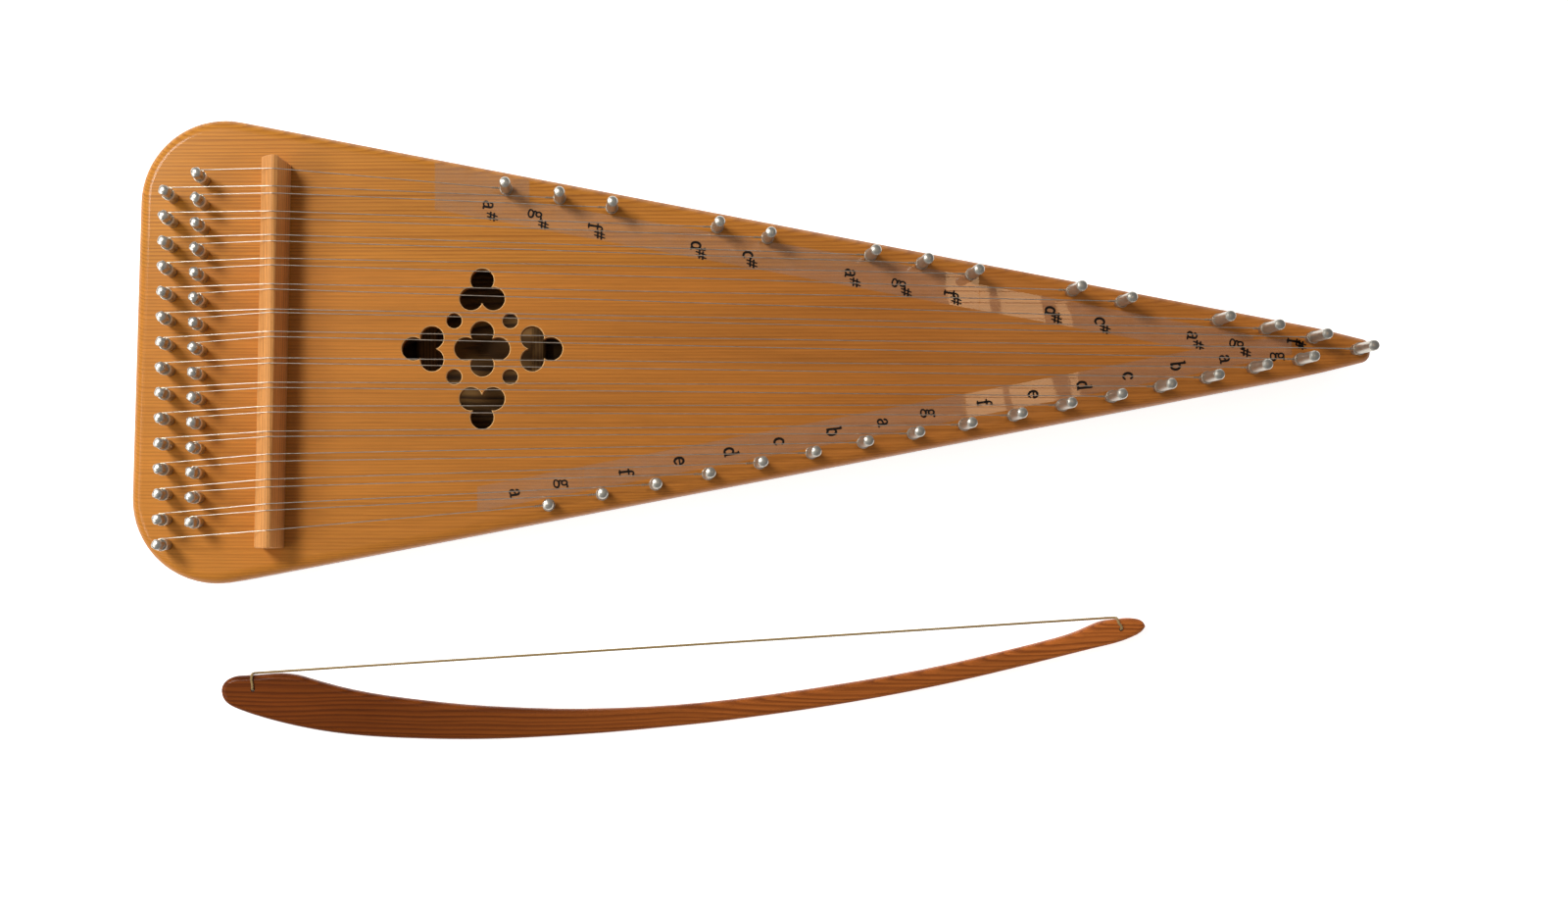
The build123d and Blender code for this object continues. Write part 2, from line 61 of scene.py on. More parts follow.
# ----------------------------------------------------------------------------
# node helper
# ----------------------------------------------------------------------------
class Nodes:
    """A short way to write the node tree of a material or a world."""

    def __init__(self, owner, output="ShaderNodeOutputMaterial"):
        self.owner = owner
        owner.use_nodes = True
        self.tree = owner.node_tree
        self.tree.nodes.clear()
        self.out = self.tree.nodes.new(output)
        self.count = 0

    def new(self, kind, **props):
        node = self.tree.nodes.new(kind)
        self.count += 1
        node.location = (-200 * (self.count % 9), -160 * (self.count // 9))
        for key, value in props.items():
            setattr(node, key, value)
        return node

    def put(self, socket, value):
        """Link a socket, or set a number or an RGB tuple; None leaves the default."""
        if isinstance(value, bpy.types.NodeSocket):
            self.tree.links.new(value, socket)
        elif isinstance(value, tuple):
            socket.default_value = (*value, 1.0)
        elif value is not None:
            socket.default_value = value

    def fill(self, node, *values):
        """Put values on the first inputs of a node and return its first output."""
        for socket, value in zip(node.inputs, values):
            self.put(socket, value)
        return node.outputs[0]

    def math(self, op, a, b=None, c=None, clamp=False):
        return self.fill(self.new("ShaderNodeMath", operation=op, use_clamp=clamp), a, b, c)

    def times(self, a, b):
        return self.math("MULTIPLY", a, b)

    def scale(self, vector, factor):
        node = self.new("ShaderNodeVectorMath", operation="SCALE")
        self.put(node.inputs[0], vector)
        self.put(node.inputs["Scale"], factor)
        return node.outputs[0]

    def coords(self):
        """Object coordinates in millimetres."""
        return self.scale(self.new("ShaderNodeTexCoord").outputs["Object"], 1000.0)

    def split(self, vector):
        node = self.new("ShaderNodeSeparateXYZ")
        self.put(node.inputs[0], vector)
        return node.outputs[0], node.outputs[1], node.outputs[2]

    def join(self, x, y, z):
        return self.fill(self.new("ShaderNodeCombineXYZ"), x, y, z)

    def stretch(self, axes, scales):
        """Join three axes, each scaled by its own factor."""
        return self.join(*[axis if scale == 1 else self.times(axis, scale)
                           for axis, scale in zip(axes, scales)])

    def noise(self, vector, seed, scale=1.0, detail=3.0, rough=0.6):
        node = self.new("ShaderNodeTexNoise", noise_dimensions="4D")
        self.put(node.inputs["Vector"], vector)
        self.put(node.inputs["Scale"], scale)
        self.put(node.inputs["Detail"], detail)
        self.put(node.inputs["Roughness"], rough)
        self.put(node.inputs["W"], seed)
        return node.outputs["Fac"]

    def ramp(self, fac, *stops):
        """Colour ramp through (position, RGB) stops."""
        node = self.new("ShaderNodeValToRGB")
        elements = node.color_ramp.elements
        while len(elements) < len(stops):
            elements.new(0.5)
        for element, (position, color) in zip(elements, stops):
            element.position = position
            element.color = (*color, 1.0)
        self.put(node.inputs["Fac"], fac)
        return node.outputs["Color"]

    def remap(self, value, span, to, smooth=False):
        """Map the span (low, high) onto another pair."""
        node = self.new("ShaderNodeMapRange")
        if smooth:
            node.interpolation_type = "SMOOTHSTEP"
        return self.fill(node, value, *span, *to)

    def mix(self, fac, a, b, mode="MIX"):
        node = self.new("ShaderNodeMix", data_type="RGBA", blend_type=mode)
        self.put(node.inputs[0], fac)
        self.put(node.inputs[6], a)
        self.put(node.inputs[7], b)
        return node.outputs[2]

    def bump(self, height, strength, distance, normal=None):
        node = self.new("ShaderNodeBump")
        self.put(node.inputs["Strength"], strength)
        self.put(node.inputs["Distance"], distance)
        self.put(node.inputs["Height"], height)
        self.put(node.inputs["Normal"], normal)
        return node.outputs[0]

    def shader(self, kind, **values):
        """A shader node; input names are written with underscores."""
        node = self.new("ShaderNode" + kind)
        for key, value in values.items():
            self.put(node.inputs[key.replace("_", " ")], value)
        return node.outputs[0]

    def principled(self, **values):
        return self.shader("BsdfPrincipled", **values)

    def mix_shaders(self, fac, first, second):
        return self.fill(self.new("ShaderNodeMixShader"), fac, first, second)

    def finish(self, shader):
        self.tree.links.new(shader, self.out.inputs["Surface"])
        return self.owner


def new_material(name):
    return Nodes(bpy.data.materials.new(name))


# ----------------------------------------------------------------------------
# wood
# ----------------------------------------------------------------------------
def ring_distance(m, x, y, z, tilt, pith):
    """Distance across the growth rings: slanted planes, or shells around a pith line."""
    if pith is None:
        return m.math("MULTIPLY_ADD", z, tilt, y)
    dy = m.math("SUBTRACT", y, pith["y"])
    dz = m.math("SUBTRACT", z, pith["z"])
    dx = m.times(m.math("SUBTRACT", x, pith["x"]), pith["squeeze"])
    across = m.math("ADD", m.times(dy, dy), m.times(dz, dz))
    return m.math("SQRT", m.math("ADD", across, m.times(dx, dx)))


def cut_rim_and_highlight(m, color, x, y, rim):
    """Pale colour on the sloping faces around the openings: bare cut wood, and painted highlight
    of the light those faces catch.
    """
    dx = m.math("SUBTRACT", x, rim["x"])
    dy = m.math("SUBTRACT", y, rim["y"])
    far = m.math("SQRT", m.math("ADD", m.times(dx, dx), m.times(dy, dy)))
    slope = m.split(m.new("ShaderNodeNewGeometry").outputs["True Normal"])[2]
    cut = m.times(m.math("LESS_THAN", slope, 0.95), m.math("GREATER_THAN", slope, 0.3))
    return m.mix(m.times(cut, m.math("LESS_THAN", far, rim["reach"])), color, rim["color"])


def wood(name, early, late, ring, contrast, fibre, patch, rough, coat, seed, tilt=0.0,
         along_y=False, pith=None, wander=2.5, sharpness=1.5, pores=0.0, brightness=1.0,
         shine=0.22, end_tint=None, seam=None, rim=None):
    """Solid wood: growth rings cut by the surface, fibre streaks, pores, colour drift, varnish.

    early and late are the colours within a ring and ring is its width. tilt slants the rings;
    pith = x, y, z and squeeze along x of a pith line. wander bends the rings, sharpness
    narrows their lines. fibre, patch and pores are strengths of streaks, drift and pores.
    """
    m = new_material(name)
    x, y, z = m.split(m.coords())
    if along_y:
        x, y = y, x

    def grain(layer, lengthwise, across, detail, rough):
        """Noise stretched along the grain, seeded by its layer."""
        return m.noise(m.stretch((x, y, z), (lengthwise, across, across)),
                       seed=seed + layer, detail=detail, rough=rough)

    # slow waviness of the rings along the board
    slow = grain(layer=1.0, lengthwise=0.006, across=0.02, detail=2.0, rough=0.5)
    slow = m.math("SUBTRACT", slow, 0.5)
    distance = ring_distance(m, x, y, z, tilt, pith)
    distance = m.math("MULTIPLY_ADD", slow, wander, distance)
    # uneven ring widths
    uneven = m.noise(m.join(m.times(distance, 0.11), 0.0, 0.0), seed=seed + 2.0, detail=2.0)
    warped = m.math("MULTIPLY_ADD", uneven, ring * 3.2, distance)
    fine = grain(layer=3.0, lengthwise=0.05, across=1.6, detail=2.0, rough=0.5)
    warped = m.math("MULTIPLY_ADD", m.math("SUBTRACT", fine, 0.5), ring * 0.35, warped)
    # each ring darkens towards its late wood and fades faster on the far side
    saw = m.math("FRACT", m.math("DIVIDE", warped, ring))
    rise = m.remap(saw, span=(0.12, 0.80), to=(0.0, 1.0), smooth=True)
    line = m.math("POWER", rise, sharpness)
    line = m.times(line, m.remap(saw, span=(0.80, 1.0), to=(1.0, 0.0), smooth=True))
    # rings differ in strength
    strength = m.noise(m.join(m.times(distance, 0.23), m.times(x, 0.002), 0.0),
                       seed=seed + 4.0, detail=2.0)
    line = m.times(line, m.remap(strength, span=(0.3, 0.7), to=(0.45, 1.25)))
    if seam is not None:                               # line strength changes across a glue seam
        line = m.times(line, m.remap(y, span=(seam["y"] - 0.15, seam["y"] + 0.15),
                                     to=(seam["below"], seam["above"])))
    color = m.mix(m.math("MULTIPLY", line, contrast, clamp=True), early, late)

    # fibre streaks, fine hairs and slow drift of brightness
    streak = grain(layer=5.0, lengthwise=0.035, across=2.4, detail=5.0, rough=0.65)
    streaks = m.remap(streak, span=(0.25, 0.75), to=(1.0 - 0.32 * fibre, 1.0 + 0.26 * fibre))
    hair = grain(layer=6.0, lengthwise=0.12, across=9.0, detail=3.0, rough=0.6)
    hairs = m.remap(hair, span=(0.25, 0.75), to=(1.0 - 0.16 * fibre, 1.0 + 0.12 * fibre))
    drift = grain(layer=7.0, lengthwise=0.006, across=0.045, detail=3.0, rough=0.55)
    drifts = m.remap(drift, span=(0.25, 0.75), to=(1.0 - 0.4 * patch, 1.0 + 0.4 * patch))
    value = m.times(m.times(streaks, hairs), m.times(drifts, brightness))
    if pores:
        pore = grain(layer=8.0, lengthwise=0.45, across=5.5, detail=1.0, rough=0.5)
        pore = m.remap(pore, span=(0.66, 0.72), to=(0.0, 1.0), smooth=True)
        value = m.times(value, m.math("SUBTRACT", 1.0, m.times(pore, pores)))
    color = m.scale(color, value)
    # On the soundboard, the paler, yellower -X end is partly its own tone and partly painted
    # sheen of the lights at -X.
    if end_tint is not None:                           # drift of colour from one end to the other
        place = m.remap(x, span=end_tint["x"], to=(0.0, 1.0))
        color = m.mix(1.0, color, m.mix(place, *end_tint["colors"]), "MULTIPLY")
    # pale sloping faces around the rosette: bare cut wood and painted highlight
    if rim is not None:
        color = cut_rim_and_highlight(m, color, x, y, rim)

    height = m.math("MULTIPLY_ADD", line, 0.5, m.times(hair, 0.5))
    if pores:
        height = m.math("SUBTRACT", height, pore)
    normal = m.bump(height, strength=0.25, distance=0.00006)
    roughness = m.remap(streak, span=(0.2, 0.8), to=(rough - 0.06, rough + 0.09))
    return m.finish(m.principled(
        Base_Color=color, Roughness=roughness, Specular_IOR_Level=shine, Normal=normal,
        Coat_Weight=coat, Coat_Roughness=0.14, Coat_IOR=1.48))


SPRUCE = dict(
    early=(0.550, 0.187, 0.0285), late=(0.310, 0.092, 0.0120), ring=1.75, tilt=0.9, seed=3.0,
    contrast=0.66, fibre=0.6, patch=0.30, rough=0.46, coat=0.20, shine=0.15,
    # rim: pale colour on the rosette's sloping cut faces, bare wood and painted highlight of the
    # light they catch
    rim=dict(x=96.0, y=0.5, reach=42.0, color=(0.86, 0.52, 0.22)),
    # end_tint: paler and yellower towards -X, partly the board's own tone and partly painted
    # sheen of the lights at -X
    end_tint=dict(x=(-66, 300), colors=((1.11, 1.23, 1.02), (0.96, 0.96, 0.98))),
    seam=dict(y=38.8, below=0.72, above=1.0))
TOP = wood("soundboard_spruce", **SPRUCE)
TOP_NARROW = wood("soundboard_spruce_narrow",
                  **{**SPRUCE, "early": (0.575, 0.204, 0.0285), "seed": 9.0})
RAIL = wood("rail_maple", early=(0.420, 0.200, 0.075), late=(0.300, 0.125, 0.040), ring=3.1,
            tilt=-0.6, seed=13.0, contrast=0.7, fibre=0.5, patch=0.4, rough=0.50, coat=0.12,
            pores=0.12)
# the flat-sawn face cuts rings around a pith line, which draws pointed arches
# its dark colours are partly the wood and partly painted shade of the closed inside of the body,
# seen through the rosette
BACK = wood("back_flat_sawn", early=(0.300, 0.150, 0.040), late=(0.065, 0.028, 0.007), ring=2.3,
            seed=23.0, pith=dict(x=118.0, y=6.0, z=-26.0, squeeze=0.16), wander=9.0,
            sharpness=0.8, contrast=1.1, fibre=0.55, patch=0.4, rough=0.6, coat=0.05)
BRACE = wood("brace_spruce", early=(0.290, 0.150, 0.048), late=(0.130, 0.060, 0.018), ring=1.6,
             tilt=0.4, along_y=True, seed=33.0, contrast=0.8, fibre=0.6, patch=0.3, rough=0.7,
             coat=0.0)
BRIDGE = wood("bridge_hardwood", early=(0.830, 0.372, 0.112), late=(0.520, 0.208, 0.060),
              ring=1.25, tilt=0.55, along_y=True, seed=43.0, wander=1.2, contrast=0.75,
              fibre=0.9, patch=0.4, rough=0.55, coat=0.03, pores=0.35, shine=0.12)
BOW = wood("bow_redwood", early=(0.220, 0.054, 0.0075), late=(0.095, 0.020, 0.003), ring=2.2,
           tilt=0.8, seed=53.0, wander=16.0, contrast=0.85, fibre=0.8, patch=0.6, rough=0.46,
           coat=0.10, pores=0.3, shine=0.07,
           end_tint=dict(x=(40, 410), colors=((0.85, 0.80, 0.62), (2.75, 3.2, 4.3))))


# ----------------------------------------------------------------------------
# metal, film, ink, cord
# ----------------------------------------------------------------------------
def nickel(name, base, rough, thread=False):
    """Turned nickel with faint smears, optionally threaded at its lower end."""
    m = new_material(name)
    coords = m.coords()
    x, y, z = m.split(coords)
    smear = m.noise(coords, seed=1.0, scale=0.5)
    turned = m.noise(m.stretch((x, y, z), (0.4, 0.4, 9.0)), seed=2.0, detail=2.0)
    tint = m.ramp(smear, (0.3, tuple(c * 0.86 for c in base)), (0.7, base))
    roughness = m.math("ADD", m.remap(smear, span=(0.3, 0.7), to=(rough - 0.04, rough + 0.08)),
                       m.remap(turned, span=(0.3, 0.7), to=(0.0, 0.05)))
    normal = m.bump(turned, strength=0.12, distance=0.00004)
    if thread:                                         # fine thread of a pin, below its eye
        pitch = 0.55
        wave = m.math("SINE", m.times(z, 2 * math.pi / pitch))
        low = m.remap(z, span=(ZTOP * 1000 + 7.6, ZTOP * 1000 + 8.2), to=(1.0, 0.0), smooth=True)
        normal = m.bump(m.times(wave, low), strength=0.8, distance=0.00007, normal=normal)
    return m.finish(m.principled(Base_Color=tint, Metallic=0.88, Roughness=roughness,
                                 Normal=normal))


def steel_wire():
    """Painted highlight: brighter behind the bridge, where the strings catch the lights at -X;
    darker and rougher on the bowed side (+X), painted shade with some rosin dulling.
    """
    m = new_material("steel_wire")
    coords = m.coords()
    blotch = m.noise(coords, seed=5.0, scale=0.35, detail=2.0, rough=0.5)
    x = m.split(coords)[0]
    bowed_side = m.remap(x, span=(-3.0, 5.0), to=(0.0, 1.0), smooth=True)
    # painted highlight behind the bridge; painted shade, with some rosin, on the bowed side
    painted_highlight_tint = m.ramp(blotch, (0.3, (0.86, 0.79, 0.66)), (0.7, (0.96, 0.90, 0.77)))
    shade_and_rosin_tint = m.ramp(blotch, (0.3, (0.42, 0.37, 0.31)), (0.7, (0.52, 0.47, 0.40)))
    roughness = m.math("ADD", m.remap(blotch, span=(0.3, 0.7), to=(0.28, 0.36)),
                       m.times(bowed_side, 0.10))
    return m.finish(m.principled(Base_Color=m.mix(bowed_side, painted_highlight_tint, shade_and_rosin_tint), Metallic=0.85,
                                 Roughness=roughness))


def dull_wire():
    """The twisted loop ends are older and duller than the speaking length."""
    m = new_material("dull_wire")
    blotch = m.noise(m.coords(), seed=15.0, scale=0.9)
    tint = m.ramp(blotch, (0.3, (0.24, 0.20, 0.15)), (0.7, (0.36, 0.31, 0.25)))
    return m.finish(m.principled(Base_Color=tint, Metallic=0.8,
                                 Roughness=m.remap(blotch, span=(0.3, 0.7), to=(0.42, 0.58))))


def clear_film():
    """Clear glossy tape: faint milky veil and sharp reflections, fully clear underneath."""
    m = new_material("clear_film")
    coords = m.coords()
    z = m.split(coords)[2]
    waves = m.noise(coords, seed=3.0, scale=0.035, detail=2.0, rough=0.5)
    cloud = m.noise(coords, seed=9.0, scale=0.12)
    body = m.mix_shaders(m.remap(cloud, span=(0.3, 0.7), to=(0.045, 0.085)),
                         m.shader("BsdfTransparent", Color=(0.955, 0.950, 0.945)),
                         m.shader("BsdfDiffuse", Color=(0.72, 0.78, 0.70)))
    gloss = m.shader("BsdfGlossy", Color=(1.0, 1.0, 1.0), Roughness=0.02,
                     Normal=m.bump(waves, strength=0.08, distance=0.0008))
    mirror = m.shader("Fresnel", IOR=1.5)
    backfacing = m.new("ShaderNodeNewGeometry").outputs["Backfacing"]
    outside = m.math("SUBTRACT", 1.0, backfacing)
    top = m.mix_shaders(m.times(m.times(mirror, 1.5), outside), body, gloss)
    underside = m.math("LESS_THAN", z, ZTOP * 1000 + 0.06)
    return m.finish(m.mix_shaders(underside, top, m.shader("BsdfTransparent")))


def label_ink():
    m = new_material("label_ink")
    blotch = m.noise(m.coords(), seed=4.0, scale=3.0)
    color = m.ramp(blotch, (0.3, (0.006, 0.004, 0.003)), (0.75, (0.020, 0.012, 0.008)))
    return m.finish(m.principled(Base_Color=color, Specular_IOR_Level=0.12,
                                 Roughness=m.remap(blotch, span=(0.3, 0.7), to=(0.45, 0.6))))


def cord_fibre():
    """Fuzzy straw-coloured fibre with fine mottling and longer streaks along X."""
    m = new_material("cord_fibre")
    coords = m.coords()
    mottle = m.noise(coords, seed=8.0, scale=2.2, detail=4.0, rough=0.65)
    streak = m.noise(m.stretch(m.split(coords), (0.05, 1, 1)), seed=9.0)
    color = m.ramp(mottle, (0.25, (0.20, 0.120, 0.035)), (0.5, (0.36, 0.235, 0.085)),
                   (0.8, (0.56, 0.41, 0.19)))
    color = m.mix(m.remap(streak, span=(0.35, 0.65), to=(0.0, 0.4)), color, (0.30, 0.22, 0.08))
    return m.finish(m.principled(
        Base_Color=color, Roughness=0.72, Sheen_Weight=0.35, Sheen_Roughness=0.5,
        Specular_IOR_Level=0.3, Normal=m.bump(mottle, strength=0.5, distance=0.00012)))


HITCH_PIN = nickel("nickel_pin", base=(0.60, 0.57, 0.50), rough=0.30)
TUNING_PIN = nickel("nickel_tuning_pin", base=(0.58, 0.55, 0.49), rough=0.26, thread=True)
WIRE = steel_wire()
DULL_WIRE = dull_wire()
FILM = clear_film()
INK = label_ink()
CORD = cord_fibre()


# ----------------------------------------------------------------------------
# materials of the CAD pieces
# ----------------------------------------------------------------------------
BY_NAME = {
    "soundboard_narrow_board": TOP_NARROW, "soundboard_wide_board": TOP,
    "pin_block": RAIL, "side_rail_chromatic": RAIL, "side_rail_diatonic": RAIL,
    "tip_block": RAIL, "back_plate": BACK, "bridge": BRIDGE, "bow_stick": BOW, "bow_hair": CORD,
}
BY_START = {"tuning_pin": TUNING_PIN, "hitch_pin": HITCH_PIN, "string": WIRE, "note_tape": FILM}


def material_for(node):
    if node in BY_NAME:
        return BY_NAME[node]
    if "brace" in node:
        return BRACE
    for start, material in BY_START.items():
        if node.startswith(start):
            return material
    return None


def dress(obj, material):
    if not obj.material_slots:
        obj.data.materials.append(material)
    for slot in obj.material_slots:
        slot.material = material


for node in NODES:
    if material_for(node):
        dress(NODES[node], material_for(node))


# ----------------------------------------------------------------------------
# mesh helpers
# ----------------------------------------------------------------------------
def mesh_object(name, verts, faces, material, smooth=True):
    mesh = bpy.data.meshes.new(name)
    mesh.from_pydata([tuple(v) for v in verts], [], faces)
    mesh.validate()
    bm = bmesh.new()
    bm.from_mesh(mesh)
    bmesh.ops.recalc_face_normals(bm, faces=bm.faces)
    bm.to_mesh(mesh)
    bm.free()
    for face in mesh.polygons:
        face.use_smooth = smooth
    mesh.materials.append(material)
    obj = bpy.data.objects.new(name, mesh)
    bpy.context.scene.collection.objects.link(obj)
    return obj


def attach(obj, part):
    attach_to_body(obj, part)


def frames(path, spare=(0, 1, 0)):
    """Tangent, normal and side at each point; the normal is carried along without twist.

    It starts from +Z, or from the spare direction where the path starts close to vertical.
    """
    last = len(path) - 1
    out = []
    for i in range(len(path)):
        tangent = (path[min(i + 1, last)] - path[max(i - 1, 0)]).normalized()
        if i == 0:
            normal = Vector((0, 0, 1))
            if abs(normal.dot(tangent)) > 0.95:
                normal = Vector(spare)
        normal = (normal - tangent * normal.dot(tangent)).normalized()
        out.append((tangent, normal, tangent.cross(normal)))
    return out


def tube(path, radius, sides):
    """A closed round tube along a list of points, with slightly pointed ends."""
    path = [Vector(p) for p in path]
    along = frames(path)
    verts, faces = [], []
    for point, (_, normal, side) in zip(path, along):
        for k in range(sides):
            angle = 2 * math.pi * k / sides
            verts.append(point + (normal * math.cos(angle) + side * math.sin(angle)) * radius)
    last_ring = (len(path) - 1) * sides
    for ring in range(0, last_ring, sides):
        for k in range(sides):
            a, b = ring + k, ring + (k + 1) % sides
            faces.append((a, b, b + sides, a + sides))
    start, end = len(verts), len(verts) + 1
    verts.append(path[0] - along[0][0] * radius * 0.35)
    verts.append(path[-1] + along[-1][0] * radius * 0.35)
    for k in range(sides):
        faces.append((start, (k + 1) % sides, k))
        faces.append((end, last_ring + k, last_ring + (k + 1) % sides))
    return verts, faces


def merge(parts):
    verts, faces = [], []
    for part_verts, part_faces in parts:
        base = len(verts)
        verts += list(part_verts)
        faces += [tuple(i + base for i in face) for face in part_faces]
    return verts, faces


def welded(mesh):
    """Positions welded together, and the welded index of each vertex.

    A shaded CAD mesh is split at its sharp edges, so its vertices are joined by position.
    """
    coords = np.empty(len(mesh.vertices) * 3)
    mesh.vertices.foreach_get("co", coords)
    coords = coords.reshape(-1, 3)
    keys, index = np.unique(np.round(coords * 1e7).astype(np.int64), axis=0,
                            return_inverse=True)
    index = index.reshape(-1)
    positions = np.zeros((len(keys), 3))
    positions[index] = coords
    return positions, index


def islands(mesh):
    """Vertex positions of each loose part of a mesh, as arrays."""
    positions, index = welded(mesh)
    parent = np.arange(len(positions))

    def find(a):
        while parent[a] != a:
            parent[a] = parent[parent[a]]
            a = parent[a]
        return a

    edges = np.empty(len(mesh.edges) * 2, dtype=np.int64)
    mesh.edges.foreach_get("vertices", edges)
    for a, b in index[edges.reshape(-1, 2)]:
        root_a, root_b = find(a), find(b)
        if root_a != root_b:
            parent[root_b] = root_a
    roots = np.array([find(a) for a in range(len(positions))])
    return [positions[roots == root] for root in np.unique(roots)]


STRINGS = {node: islands(NODES[node].data)
           for node in ("strings_chromatic", "string_lowest", "strings_diatonic")}

# ----------------------------------------------------------------------------
# wire coils on the tuning pins: each rides on its own pin
# ----------------------------------------------------------------------------
COIL_R = 2.75 * MM
LEAVE_H = 11.5 * MM              # height above the soundboard where the string leaves its coil
EYE_H = 9.0 * MM                 # height of the eye of the pin
COIL_LEAD = 0.9                  # radians of coil ahead of the leaving point
STEPS_PER_TURN = 26
STRING_POINTS = np.concatenate([points for parts in STRINGS.values() for points in parts])


def leaving_angle(pin_x, pin_y):
    """Direction from the pin to the start of its string, near +Y."""
    points = STRING_POINTS
    gaps = ((points[:, 0] - pin_x) ** 2 + (points[:, 1] - (pin_y + COIL_R)) ** 2
            + (points[:, 2] - ZTOP - LEAVE_H) ** 2)
    nearest = points[np.argmin(gaps)]
    angle = math.atan2(nearest[1] - pin_y, nearest[0] - pin_x)
    return math.pi / 2 + max(-0.3, min(0.3, angle - math.pi / 2))


def coil_path(pin_x, pin_y, turns):
    """Down around the pin from the leaving height, then in to its eye."""
    first = leaving_angle(pin_x, pin_y) - COIL_LEAD
    steps = int(turns * STEPS_PER_TURN)
    path = []
    for k in range(steps + 1):
        t = k / steps
        angle = first + turns * 2 * math.pi * t
        z = ZTOP + LEAVE_H + 0.16 * MM - (LEAVE_H - EYE_H + 0.2 * MM) * t
        path.append((pin_x + COIL_R * math.cos(angle), pin_y + COIL_R * math.sin(angle), z))
    end = first + turns * 2 * math.pi
    for k in range(1, 7):
        t = k / 6
        angle = end + 0.5 * t
        radius = COIL_R * (1 - 0.55 * t * t)
        path.append((pin_x + radius * math.cos(angle), pin_y + radius * math.sin(angle),
                     z - 0.25 * MM * t))
    return path


for i in range(TUNING_PINS):
    pin = f"tuning_pin_{i + 1:02d}"
    lo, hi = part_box(pin)
    turns = 4.0 + 0.35 * ((i * 7) % 5) / 4
    path = coil_path((lo[0] + hi[0]) / 2, (lo[1] + hi[1]) / 2, turns)
    attach(mesh_object(f"string_coil_{i + 1:02d}", *tube(path, WIRE_R, sides=8), WIRE),
           pin)

# ----------------------------------------------------------------------------
# twisted ends of the string loops, just before each hitch pin
# ----------------------------------------------------------------------------
LOOP_H = 4.5 * MM                # height of the loop above the soundboard
LOOP_R = 2.78 * MM               # radius of the loop, on the wire's axis
LOOP_BAND = 0.21 * MM            # vertices this close to the loop's level belong to it
LOOP_SPAN = 6.0 * MM             # X extent searched for the loop
TWIST_GAP, TWIST_LENGTH, TWIST_PITCH = 0.4 * MM, 3.4 * MM, 0.95 * MM
TWIST_STEPS = 44
TWIST_FLARE = 0.93               # the last part of the twist opens outwards


def loop_twist(points):
    """One wire wound around the string, from its loop towards its highest point."""
    level = points[np.abs(points[:, 2] - (ZTOP + LOOP_H)) < LOOP_BAND]
    end_x = level[:, 0].max()
    loop_y = level[level[:, 0] > end_x - LOOP_SPAN][:, 1]
    centre = Vector((end_x - (LOOP_R + WIRE_R), (loop_y.max() + loop_y.min()) / 2,
                     ZTOP + LOOP_H))
    crown = points[np.argmax(points[:, 2])]
    crown = Vector((crown[0], crown[1], crown[2] - WIRE_R))
    direction = (crown - centre).normalized()
    start = centre + Vector((direction.x, direction.y, 0)).normalized() * LOOP_R
    direction = (crown - start).normalized()
    side = direction.cross(Vector((0, 0, 1))).normalized()
    up = side.cross(direction).normalized()
    path = []
    for k in range(TWIST_STEPS + 1):
        t = k / TWIST_STEPS
        angle = 2 * math.pi * TWIST_LENGTH / TWIST_PITCH * t
        radius = 2 * WIRE_R * (1.0 if t < TWIST_FLARE else 1.0 + (t - TWIST_FLARE) * 3)
        path.append(start + direction * (TWIST_GAP + TWIST_LENGTH * t)
                    + (side * math.cos(angle) + up * math.sin(angle)) * radius)
    return tube(path, WIRE_R * 0.95, sides=7)


for node, parts in STRINGS.items():
    twists = merge([loop_twist(points) for points in parts])
    attach(mesh_object("loop_twists_" + node, *twists, DULL_WIRE), "root")


# ----------------------------------------------------------------------------
# note letters: serif lower-case letters drawn as strokes, merged to outlines
# ----------------------------------------------------------------------------
def arc(x, y, radius_x, radius_y, start, end, width, middle, steps):
    """Elliptic stroke from start to end degrees; its half width swells to middle halfway."""
    out = []
    for k in range(steps + 1):
        t = k / steps
        angle = math.radians(start + (end - start) * t)
        out.append((x + radius_x * math.cos(angle), y + radius_y * math.sin(angle),
                    width + (middle - width) * math.sin(math.pi * t)))
    return out


def catmull_rom(q0, q1, q2, q3, t):
    """Point between q1 and q2; works on numbers and on vectors."""
    return 0.5 * ((2 * q1) + (-q0 + q2) * t + (2 * q0 - 5 * q1 + 4 * q2 - q3) * t * t
                  + (-q0 + 3 * q1 - 3 * q2 + q3) * t ** 3)


def curved(*points, steps=8):
    """Smooth stroke through (x, y, half width) points."""
    padded = [points[0], *points, points[-1]]
    out = [tuple(catmull_rom(*corners, k / steps) for corners in zip(*padded[i - 1:i + 3]))
           for i in range(1, len(padded) - 2) for k in range(steps)]
    return out + [points[-1]]


